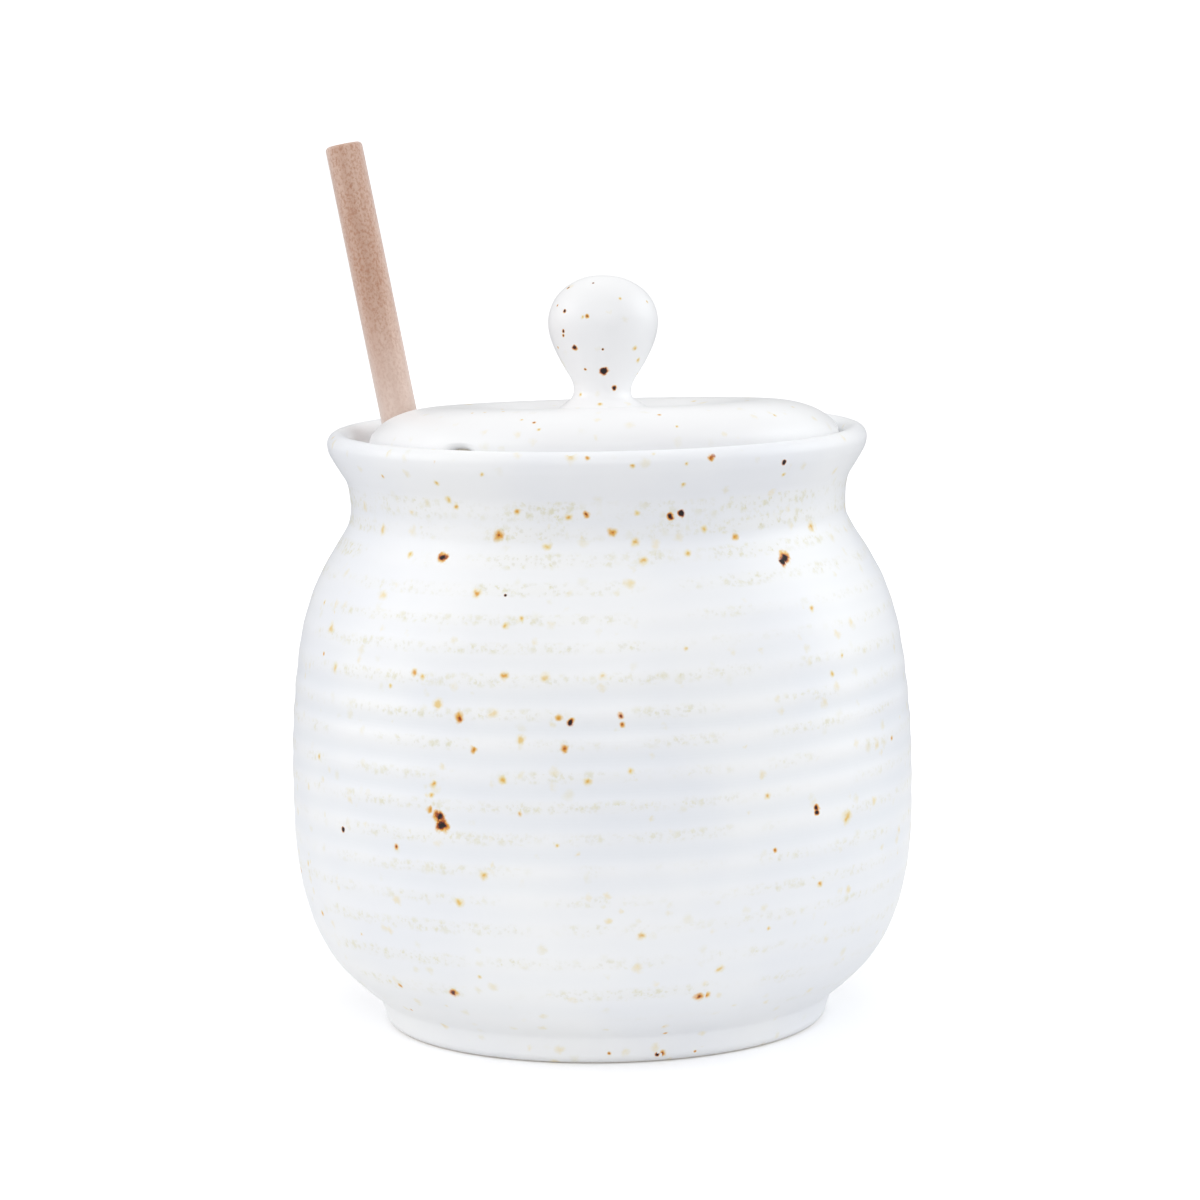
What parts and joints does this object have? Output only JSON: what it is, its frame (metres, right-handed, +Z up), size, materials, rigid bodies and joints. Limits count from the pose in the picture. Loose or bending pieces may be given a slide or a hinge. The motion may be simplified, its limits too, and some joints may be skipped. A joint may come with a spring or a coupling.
{
  "type": "honey pot with lid and dipper",
  "caption": "Round thrown stoneware honey pot with a knobbed lift-off lid, notched for the handle of a wooden dipper that stands inside.",
  "frame": {"origin": "centre of the foot, on the surface that the pot stands on", "axes": "+Z up; the front of the pot faces -Y; the dipper leans out towards -X and a little towards +Y"},
  "size_m": [0.0953, 0.0954, 0.1352],
  "materials": {
    "pot_glaze": "glossy white glaze with iron specks and faint throwing rings",
    "lid_glaze": "glossy white glaze with iron specks",
    "handle_wood": "plain sanded pinkish hardwood dowel",
    "head_wood": "plain turned hardwood"
  },
  "bodies": {
    "pot": {"pot": "pot_glaze"},
    "lid": {"lid": "lid_glaze"},
    "dipper": {"dipper_handle": "handle_wood", "dipper_head": "head_wood"}
  },
  "joints": [
    {"name": "lid_lift", "type": "slide", "parent": "pot", "child": "lid", "axis": [0, 0, 1], "range_m": [0, 0.06]},
    {"name": "dipper_draw", "type": "slide", "parent": "pot", "child": "dipper", "axis": [-0.182, 0.0515, 0.982], "range_m": [0, 0.034]}
  ]
}
